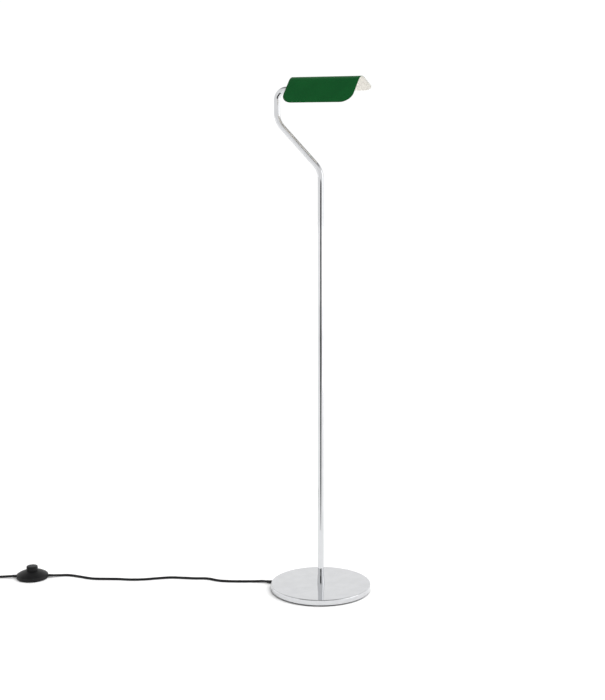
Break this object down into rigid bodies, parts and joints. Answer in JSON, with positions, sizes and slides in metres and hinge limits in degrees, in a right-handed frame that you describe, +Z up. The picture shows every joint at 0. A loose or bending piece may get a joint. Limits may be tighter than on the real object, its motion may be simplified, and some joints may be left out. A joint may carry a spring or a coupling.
{
  "type": "floor lamp",
  "caption": "Floor lamp with a round weighted base, a bent tube stem, a folded sheet shade that tilts about the stem's level end, and a foot switch on its mains cord.",
  "frame": {"origin": "on the floor, at the centre of the round base (underside of the rubber feet)", "axes": "+Z up; +X along the level end of the stem towards the free end of the shade; the stem leans towards -X; the shade tilts about X"},
  "size_m": [0.978, 0.6034, 1.2651],
  "materials": {
    "chrome": "polished chrome plate on steel",
    "green_coat": "satin dark green powder coat outside, cream-white inside",
    "cream_coat": "satin cream-white powder coat",
    "black_rubber": "moulded",
    "black_plastic": "fine moulded texture",
    "black_cord": "smooth extruded PVC",
    "brass": "turned",
    "zinc_steel": "zinc plated",
    "nylon": "moulded",
    "white_plastic": "moulded",
    "opal": "opal diffuser",
    "core_insulation": "extruded",
    "hook_tape": "woven hook-and-loop tape"
  },
  "bodies": {
    "root": {"base_disc": "chrome", "rubber_feet": "black_rubber", "base_collar": "chrome", "stem_insert": "brass", "base_nipple": "brass", "base_washer": "zinc_steel", "base_nut": "zinc_steel", "pocket_cap": "black_plastic", "cord_clamp": "black_plastic", "clamp_screws": "zinc_steel", "base_cord": "black_cord", "core_wires": "core_insulation", "base_relief": "black_rubber", "stem": "chrome", "pivot_spigot": "chrome", "stop_pin": "zinc_steel", "friction_washer": "zinc_steel", "pivot_nut": "brass", "lampholder_cap": "white_plastic", "lampholder_body": "white_plastic", "lampholder_contacts": "brass", "bulb_cap": "zinc_steel", "bulb_insulator": "black_plastic", "bulb_tip": "zinc_steel", "bulb_body": "white_plastic", "bulb_globe": "opal", "led_board": "white_plastic", "cord_to_switch": "black_cord", "switch_pad": "black_rubber", "switch_base": "black_plastic", "switch_dome": "black_plastic", "switch_glands": "black_rubber", "switch_block": "nylon", "switch_terminals": "brass", "switch_screws": "zinc_steel", "button_spring": "zinc_steel", "cord_to_coil": "black_cord", "cord_coil": "black_cord", "coil_tie": "hook_tape", "cord_to_plug": "black_cord", "plug_relief": "black_rubber", "plug_body": "black_plastic", "plug_pins": "zinc_steel", "pin_sleeves": "black_plastic"},
    "shade": {"shade": "green_coat", "shade_bracket": "cream_coat", "pivot_bush": "nylon"},
    "button": {"switch_button": "black_plastic"}
  },
  "joints": [
    {"name": "shade_tilt", "type": "hinge", "parent": "root", "child": "shade", "pos_m": [0, 0, 1.236], "axis": [1, 0, 0], "range_deg": [-72, 48]},
    {"name": "button_press", "type": "slide", "parent": "root", "child": "button", "axis": [0, 0, -1], "range_m": [0, 0.004], "stiffness_N_per_m": 600, "springref_m": -0.004, "deforming": ["button_spring"]}
  ]
}
